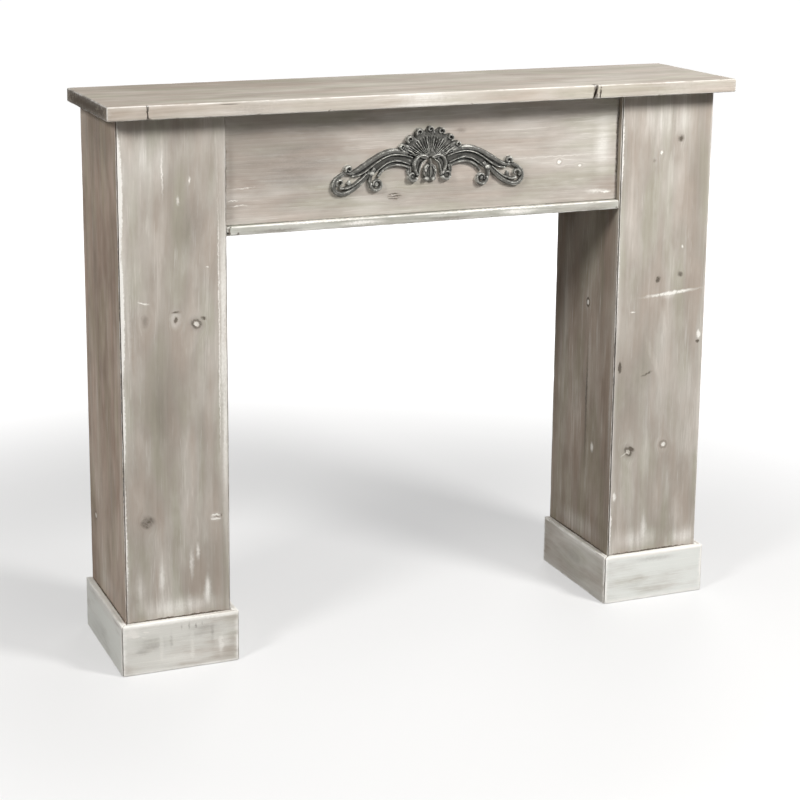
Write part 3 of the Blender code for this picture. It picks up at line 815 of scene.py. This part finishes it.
strip = Board("frieze_strip", grain=0, face=1, seed=seed + 1)
strip.saw()
strip.cut_lattice()
strip.round_arrises(0.0022)
strip.weather(0.0008)
strip.marks = [
    mark(0.7700, -0.290, 0.0050, 0.085, halo=-0.50),
    mark(0.7740, -0.130, 0.0060, 0.060, halo=0.80),
    mark(0.7700, 0.040, 0.0050, 0.090, halo=-0.45),
    mark(0.7740, 0.170, 0.0060, 0.060, halo=0.70),
    mark(0.7700, 0.310, 0.0045, 0.060, halo=-0.35),
    mark(0.7802, -0.200, 0.0024, 0.180, halo=0.9),
    mark(0.7802, 0.140, 0.0022, 0.230, halo=0.8),
    mark(0.7735, -0.3720, 0.0120, 0.0030, halo=-1.4),
    mark(0.7690, -0.3560, 0.0040, 0.0022, halo=-1.2),
    mark(0.7675, 0.372, 0.0040, 0.0040, halo=-0.9),
]
strip.notch((-0.3740, -0.1010, 0.770), (0.0080, 0.008, 0.004), 30)
strip.notch((-0.3580, -0.1010, 0.7655), (0.0090, 0.006, 0.005), -20)
strip.notch((-0.3690, -0.1010, 0.7805), (0.0060, 0.008, 0.003), 15)
strip.notch((0.1200, -0.1010, 0.7655), (0.0120, 0.004, 0.004), 12)
strip.hand_over(fir_finish("strip_whitewash", strip, STRIP_STAIN, STRIP_FIR, STRIP_WASH,
                           coverage=0.7, contrast=1.4, arris_white=0.95), "frieze_wood")


# The ornament is one casting in grey metal, glued to the frieze: a fluted shell between two arched
# arms, with scrolls, a hanging bud and a looped leaf at each end. Its hollows are dark, and its
# ridges are brushed with silvery white.
ORNAMENT_HALF = 0.186
ORNAMENT_RISE = 0.122
ORNAMENT_RELIEF = 0.0108
GLUE_GAP = 0.0003
ORNAMENT_LIFT = 0.001
ORNAMENT_BACK = float(frieze.low[1]) - GLUE_GAP
ORNAMENT_CENTRE = float(frieze.low[2] + frieze.high[2]) / 2 + ORNAMENT_LIFT
ROOT_DEPTH = 0.0030
VOXEL = 0.00052
ORNAMENT_TRIANGLES = 190000
FLAT_BACK = 0.001
SAND_SINK = 0.00018
SAND_SWING = 0.00028
CAST_LOW = (0.088, 0.086, 0.078)
CAST_HIGH = (0.180, 0.178, 0.163)
CREVICE_BLACK = (0.018, 0.018, 0.016)
BRUSHED_SILVER = (0.60, 0.60, 0.555)


def curve_through(points, steps=7):
    """A smooth line through the given points, as a Catmull-Rom curve."""
    knots = [Vector(point) for point in points]
    knots = [2 * knots[0] - knots[1]] + knots + [2 * knots[-1] - knots[-2]]
    line = []
    for first, start, end, last in zip(knots, knots[1:], knots[2:], knots[3:]):
        for step in range(steps):
            t = step / steps
            swing = (end - first) * t
            bend = (2 * first - 5 * start + 4 * end - last) * t * t
            twist = (3 * start - first - 3 * end + last) * t * t * t
            line.append(start + 0.5 * (swing + bend + twist))
    line.append(knots[-2])
    return line


def scroll(centre, radius, eye_radius, start_degrees, turn_degrees):
    """A spiral wound from its rim in to its eye, in the same shares."""
    steps = max(8, round(abs(turn_degrees) / 9))
    line = []
    for step in range(steps + 1):
        share = step / steps
        angle = math.radians(start_degrees + turn_degrees * share)
        reach = radius + (eye_radius - radius) * share
        line.append(Vector((centre[0] + reach * math.cos(angle),
                            centre[1] + reach * math.sin(angle) * ORNAMENT_HALF / ORNAMENT_RISE)))
    return line


def taper(values, share):
    """Read a list of values spread evenly along a line."""
    position = share * (len(values) - 1)
    index = min(int(position), len(values) - 2)
    return values[index] + (values[index + 1] - values[index]) * (position - index)


def cast_point(side, across, up, relief):
    """A place on the ornament, from metres across and up its face and metres proud of its back."""
    return Vector((side * across, ORNAMENT_BACK - relief, ORNAMENT_CENTRE + up))


def skin(solids, rings):
    """Close a row of rings of corners into one solid."""
    solids.faces.new(rings[0])
    solids.faces.new(reversed(rings[-1]))
    for ring, following in zip(rings, rings[1:]):
        for index in range(len(ring)):
            onward = (index + 1) % len(ring)
            solids.faces.new((ring[index], ring[onward], following[onward], following[index]))


def roll(solids, side, line, half_widths, heights, arc_steps=10, groove=0.0):
    """Sweep a half-round roll with soft ends along a line. A groove sinks its middle.

    The line is drawn on the ornament's right half, in shares of its half length across and of its
    height up. The half widths and heights are shares of its relief.
    """
    flat_line = [Vector((point[0] * ORNAMENT_HALF, point[1] * ORNAMENT_RISE)) for point in line]
    count = len(flat_line)
    length = sum((after - before).length for before, after in zip(flat_line, flat_line[1:]))
    run = 0.0
    rings = []
    for index, point in enumerate(flat_line):
        ahead = flat_line[min(index + 1, count - 1)]
        behind = flat_line[max(index - 1, 0)]
        if index:
            run += (point - behind).length
        along = (ahead - behind).normalized()
        across = Vector((-along.y, along.x))
        share = run / length
        half_width = taper(half_widths, share) * ORNAMENT_RELIEF
        height = taper(heights, share) * ORNAMENT_RELIEF
        from_end = min(run, length - run) / (0.9 * half_width)
        soft = 1.0 if from_end >= 1.0 else math.sqrt(max(0.04, 1.0 - (1.0 - from_end) ** 2))
        ring = []
        for step in range(arc_steps + 1):
            angle = math.pi * step / arc_steps
            lift = math.sin(angle) ** 0.8 - groove * math.exp(-(math.cos(angle) / 0.35) ** 2)
            ring.append((point + across * half_width * soft * math.cos(angle), height * soft * lift))
        ring.append((point - across * half_width * soft, -ROOT_DEPTH))
        ring.append((point + across * half_width * soft, -ROOT_DEPTH))
        rings.append([solids.verts.new(cast_point(side, edge.x, edge.y, relief))
                      for edge, relief in ring])
    skin(solids, rings)


def boss(solids, side, centre, radius_across, radius_up, height, sides=28):
    """A low dome, such as a bead, an eye or a bud."""
    rings = []
    for spread, relief in ((1.0, -ROOT_DEPTH), (1.0, 0.25 * height), (0.95, 0.52 * height),
                           (0.82, 0.76 * height), (0.60, 0.92 * height), (0.30, height)):
        ring = []
        for step in range(sides):
            angle = 2 * math.pi * step / sides
            ring.append(solids.verts.new(cast_point(
                side, centre[0] * ORNAMENT_HALF + radius_across * spread * math.cos(angle),
                centre[1] * ORNAMENT_RISE + radius_up * spread * math.sin(angle), relief)))
        rings.append(ring)
    skin(solids, rings)


def arm(solids, side):
    """The arched band: a cove with an outer roll, two thin ridges and a lower roll."""
    web = curve_through([(0.150, -0.040), (0.300, 0.025), (0.430, 0.010), (0.530, -0.060),
                         (0.600, -0.150)])
    outer_web = curve_through([(0.500, 0.010), (0.620, -0.080), (0.730, -0.165), (0.820, -0.185)])
    outer_roll = curve_through([(0.215, 0.075), (0.330, 0.121), (0.430, 0.111), (0.535, 0.053),
                                (0.645, -0.043), (0.740, -0.130), (0.815, -0.166), (0.862, -0.140)])
    high_ridge = curve_through([(0.170, 0.010), (0.265, 0.058), (0.375, 0.074), (0.460, 0.045),
                                (0.540, -0.020), (0.620, -0.105), (0.700, -0.180), (0.800, -0.213)])
    low_ridge = curve_through([(0.190, -0.090), (0.320, -0.020), (0.420, -0.035), (0.500, -0.105),
                               (0.570, -0.190)])
    lower_roll = curve_through([(0.205, -0.135), (0.280, -0.092), (0.350, -0.080), (0.430, -0.103),
                                (0.495, -0.170), (0.530, -0.245)])
    roll(solids, side, web, [1.20, 1.20, 1.10, 0.95], [0.30, 0.34, 0.30])
    roll(solids, side, outer_web, [0.50, 0.62, 0.70, 0.40], [0.32, 0.34, 0.30])
    roll(solids, side, outer_roll, [0.40, 0.46, 0.48, 0.46, 0.50, 0.40, 0.24], [0.72, 0.78, 0.60],
         groove=0.10)
    roll(solids, side, high_ridge, [0.15, 0.18, 0.18, 0.22], [0.74, 0.80, 0.58])
    roll(solids, side, low_ridge, [0.14, 0.16, 0.14], [0.60, 0.66, 0.60])
    roll(solids, side, lower_roll, [0.26, 0.30, 0.28], [0.60, 0.62, 0.60])
    leaf = curve_through([(0.150, 0.040), (0.200, 0.105), (0.262, 0.140)])
    roll(solids, side, leaf, [0.12, 0.26, 0.12], [0.80, 0.92, 0.70])
    curl = scroll((0.822, -0.102), 0.036, 0.010, -50, 400)
    roll(solids, side, curl, [0.34, 0.32, 0.28, 0.18], [0.84, 0.92, 0.84, 0.74])
    boss(solids, side, (0.822, -0.102), 0.0058, 0.0058, 0.50 * ORNAMENT_RELIEF)


def drop_volute(solids, side):
    """The hanging scroll under the arm's outer end, with its knuckle and its eye."""
    stem = curve_through([(0.555, -0.100), (0.596, -0.190), (0.609, -0.270), (0.602, -0.350)])
    rim = scroll((0.540, -0.343), 0.062, 0.030, 25, -420)
    roll(solids, side, stem, [0.36, 0.44, 0.36, 0.30], [0.60, 0.74, 0.72, 0.70], groove=0.12)
    roll(solids, side, rim, [0.33, 0.33, 0.30, 0.18], [0.76, 0.78, 0.66, 0.50])
    boss(solids, side, (0.543, -0.343), 0.0050, 0.0050, 0.44 * ORNAMENT_RELIEF)
    boss(solids, side, (0.594, -0.182), 0.0056, 0.0052, 0.90 * ORNAMENT_RELIEF)


def end_loop(solids, side):
    """The looped leaf at the arm's end, with an inner strand, a curl and a teardrop."""
    band = curve_through([(0.600, -0.150), (0.650, -0.235), (0.730, -0.345), (0.820, -0.430),
                          (0.905, -0.452), (0.960, -0.400), (0.972, -0.305), (0.938, -0.225),
                          (0.880, -0.172), (0.840, -0.140)])
    strand = curve_through([(0.640, -0.170), (0.705, -0.255), (0.780, -0.335), (0.860, -0.372),
                            (0.920, -0.360)])
    curl = scroll((0.908, -0.292), 0.040, 0.014, -60, 330)
    roll(solids, side, band, [0.38, 0.44, 0.42, 0.42, 0.38], [0.64, 0.70, 0.70, 0.60], groove=0.14)
    roll(solids, side, strand, [0.18, 0.24, 0.30], [0.76, 0.80, 0.66])
    roll(solids, side, curl, [0.34, 0.30, 0.20], [0.70, 0.80, 0.60])
    boss(solids, side, (0.815, -0.312), 0.0042, 0.0068, 0.55 * ORNAMENT_RELIEF)


def inner_scroll(solids, side):
    """The scroll that springs from the shell's foot and curls under the arm's inner end."""
    outer = curve_through([(0.010, 0.000), (0.070, 0.040), (0.128, 0.012), (0.160, -0.080),
                           (0.148, -0.180), (0.124, -0.255)])
    rim = scroll((0.176, -0.258), 0.050, 0.020, 185, 345)
    inner = curve_through([(0.040, -0.020), (0.085, -0.070), (0.106, -0.160), (0.118, -0.270)])
    tail = curve_through([(0.200, -0.100), (0.213, -0.180), (0.205, -0.250)])
    web = curve_through([(0.070, -0.005), (0.122, -0.070), (0.134, -0.190)])
    roll(solids, side, web, [0.36, 0.40, 0.30], [0.46, 0.46, 0.42])
    roll(solids, side, outer, [0.26, 0.34, 0.36, 0.32], [0.82, 0.90, 0.82])
    roll(solids, side, rim, [0.33, 0.31, 0.20], [0.80, 0.82, 0.56])
    roll(solids, side, inner, [0.16, 0.20, 0.22], [0.78, 0.84, 0.70])
    roll(solids, side, tail, [0.42, 0.44, 0.32], [0.58, 0.60, 0.50], groove=0.25)
    boss(solids, side, (0.178, -0.258), 0.0060, 0.0060, 0.42 * ORNAMENT_RELIEF)


def shell(solids):
    """The fluted shell: grooved lobes fanned from a hinge over a low dome, each with raised veins and a
    curled tip.
    """
    boss(solids, 1, (0.0, 0.200), 0.205 * ORNAMENT_HALF, 0.200 * ORNAMENT_RISE, 0.40 * ORNAMENT_RELIEF)
    hinge = Vector((0.0, -0.035))
    for across, up, end_radius in ((0.0, 0.415, 0.050), (0.112, 0.378, 0.060), (0.207, 0.282, 0.058),
                                   (0.285, 0.180, 0.048)):
        end = Vector((across, up))
        radius = end_radius * ORNAMENT_HALF
        spread = radius / ORNAMENT_RELIEF
        reach = end - hinge
        heading = Vector((reach.x * ORNAMENT_HALF, reach.y * ORNAMENT_RISE)).normalized()
        lean = math.degrees(math.atan2(heading.y, heading.x))
        tip = end + 0.6 * radius * Vector((heading.x / ORNAMENT_HALF, heading.y / ORNAMENT_RISE))
        beside = radius * Vector((-heading.y / ORNAMENT_HALF, heading.x / ORNAMENT_RISE))
        flute = curve_through([hinge.lerp(end, 0.1), hinge.lerp(end, 0.5), end, tip])
        curl = scroll(end, 0.56 * end_radius, 0.20 * end_radius, lean - 130, 400)
        for side in ((1,) if across == 0.0 else (1, -1)):
            roll(solids, side, flute, [0.20 * spread, 0.66 * spread, 1.0 * spread, 0.80 * spread],
                 [0.60, 0.56, 0.60, 0.56], groove=0.16)
            for shift in (-0.86, -0.32, 0.32, 0.86):
                vein = [hinge.lerp(end, 0.08) + 0.06 * shift * beside,
                        hinge.lerp(end, 0.45) + 0.52 * shift * beside,
                        hinge.lerp(end, 0.84) + 0.90 * shift * beside]
                roll(solids, side, curve_through(vein), [0.07, 0.11, 0.08], [0.74, 0.80, 0.66])
            roll(solids, side, curl, [0.22, 0.24, 0.20, 0.12], [0.84, 0.96, 0.84, 0.70])


def bud(solids):
    """The hanging bud below the shell, with a raised keel and two small beads at its foot."""
    boss(solids, 1, (0.0, -0.215), 0.0120, 0.0160, 0.60 * ORNAMENT_RELIEF)
    roll(solids, 1, curve_through([(0.0, 0.00), (0.0, -0.14), (0.0, -0.29)]), [0.12, 0.20, 0.14],
         [0.96, 1.0, 0.90])
    for side in (1, -1):
        leaf = curve_through([(0.012, -0.090), (0.044, -0.150), (0.050, -0.225), (0.036, -0.290)])
        roll(solids, side, leaf, [0.20, 0.40, 0.36, 0.20], [0.86, 0.92, 0.84, 0.70], groove=0.22)
        boss(solids, side, (0.050, -0.180), 0.0030, 0.0040, 0.92 * ORNAMENT_RELIEF)
        boss(solids, side, (0.036, -0.302), 0.0054, 0.0048, 0.84 * ORNAMENT_RELIEF)


def cast_ornament():
    """Sweep the rolls and bosses, fuse them as one casting and cut it flat at the back."""
    solids = bmesh.new()
    for side in (1, -1):
        arm(solids, side)
        drop_volute(solids, side)
        end_loop(solids, side)
        inner_scroll(solids, side)
    shell(solids)
    bud(solids)
    bmesh.ops.recalc_face_normals(solids, faces=solids.faces)
    mesh = bpy.data.meshes.new("shell_and_scrolls")
    solids.to_mesh(mesh)
    solids.free()
    piece = bpy.data.objects.new("shell_and_scrolls", mesh)
    bpy.context.collection.objects.link(piece)
    choose(piece)

    fuse = piece.modifiers.new("fuse", "REMESH")
    fuse.mode = "VOXEL"
    fuse.voxel_size = VOXEL
    bpy.ops.object.modifier_apply(modifier=fuse.name)
    soften = piece.modifiers.new("soften", "SMOOTH")
    soften.factor = 0.5
    soften.iterations = 3
    bpy.ops.object.modifier_apply(modifier=soften.name)
    bpy.ops.object.mode_set(mode="EDIT")
    bpy.ops.mesh.select_all(action="SELECT")
    bpy.ops.mesh.bisect(plane_co=(0.0, ORNAMENT_BACK, 0.0), plane_no=(0.0, 1.0, 0.0),
                        use_fill=True, clear_outer=True)
    bpy.ops.object.mode_set(mode="OBJECT")
    thin = piece.modifiers.new("thin", "DECIMATE")
    thin.ratio = min(1.0, ORNAMENT_TRIANGLES / (2.0 * len(piece.data.polygons)))
    bpy.ops.object.modifier_apply(modifier=thin.name)
    return piece


ornament = cast_ornament()
mesh = ornament.data
points = read_vectors(mesh.vertices, "co")
normals = read_vectors(mesh.vertices, "normal")
edges = np.empty(len(mesh.edges) * 2, dtype=np.int32)
mesh.edges.foreach_get("vertices", edges)
edges = edges.reshape(-1, 2)
neighbours = np.bincount(edges.ravel(), minlength=len(points))[:, None]


def even_out(values, rounds):
    """Average values with those of their neighbours along the edges, several times over."""
    for _ in range(rounds):
        total = np.zeros_like(values)
        np.add.at(total, edges[:, 0], values[edges[:, 1]])
        np.add.at(total, edges[:, 1], values[edges[:, 0]])
        values = 0.5 * values + 0.5 * total / neighbours
    return values


bulge = np.einsum("ij,ij->i", points - even_out(points, 7), normals)
bulge = even_out(bulge[:, None], 1)[:, 0]
bulge /= np.percentile(np.abs(bulge), 96)
attribute = mesh.attributes.new("bulge", "FLOAT", "POINT")
attribute.data.foreach_set("value", bulge.astype(np.float32))
sand = np.array([0.7 * noise.noise(Vector(point) * 620.0) + 1.2 * noise.noise(Vector(point) * 270.0)
                 for point in points])
in_front = points[:, 1] < ORNAMENT_BACK - FLAT_BACK
inward = in_front * (SAND_SINK + SAND_SWING * sand)
write_vectors(mesh.vertices, "co", points - normals * inward[:, None])
mesh.update()

cast = Finish("cast_grey_brushed")
bulge_wire = cast.node("Attribute", {"attribute_name": "bulge"}, None, "Fac")
relief = cast.node("SeparateXYZ", None, {0: cast.place}, "Y")
relief = (ORNAMENT_BACK - relief) * (1.0 / ORNAMENT_RELIEF)
grit = cast.cloud(cast.place, 900.0, 3.0, 0.7) - 0.5
blotch = cast.cloud(cast.place, 110.0, 2.0) - 0.5
pits = cast.cloud(cast.place, 480.0, 3.0, 0.65) - 0.5
brushed = cast.rise(bulge_wire + 0.40 * grit + 1.6 * pits + 1.3 * blotch + 0.15 * relief, 0.36, 1.00)
grey = cast.mix(cast.rise(relief + 0.4 * blotch, 0.2, 1.0), CAST_LOW, CAST_HIGH)
crevice = cast.rise(bulge_wire + 0.25 * grit + 1.8 * pits + 0.9 * blotch, -0.08, -0.62)
grey = cast.mix(crevice, grey, CREVICE_BLACK)
cast.feed("Base Color", cast.mix(brushed * 0.9, grey, BRUSHED_SILVER))
cast.feed("Roughness", 0.38 + 0.25 * grit)
cast.feed("Metallic", 0.25)
cast.feed("Normal", cast.node("Bump", None, {"Strength": 0.35, "Distance": 0.0004, "Height": grit}))
choose(ornament)
bpy.ops.object.shade_smooth_by_angle(angle=math.radians(60))
cast.dress(ornament)
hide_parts("cast_ornament")
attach(ornament, "root")
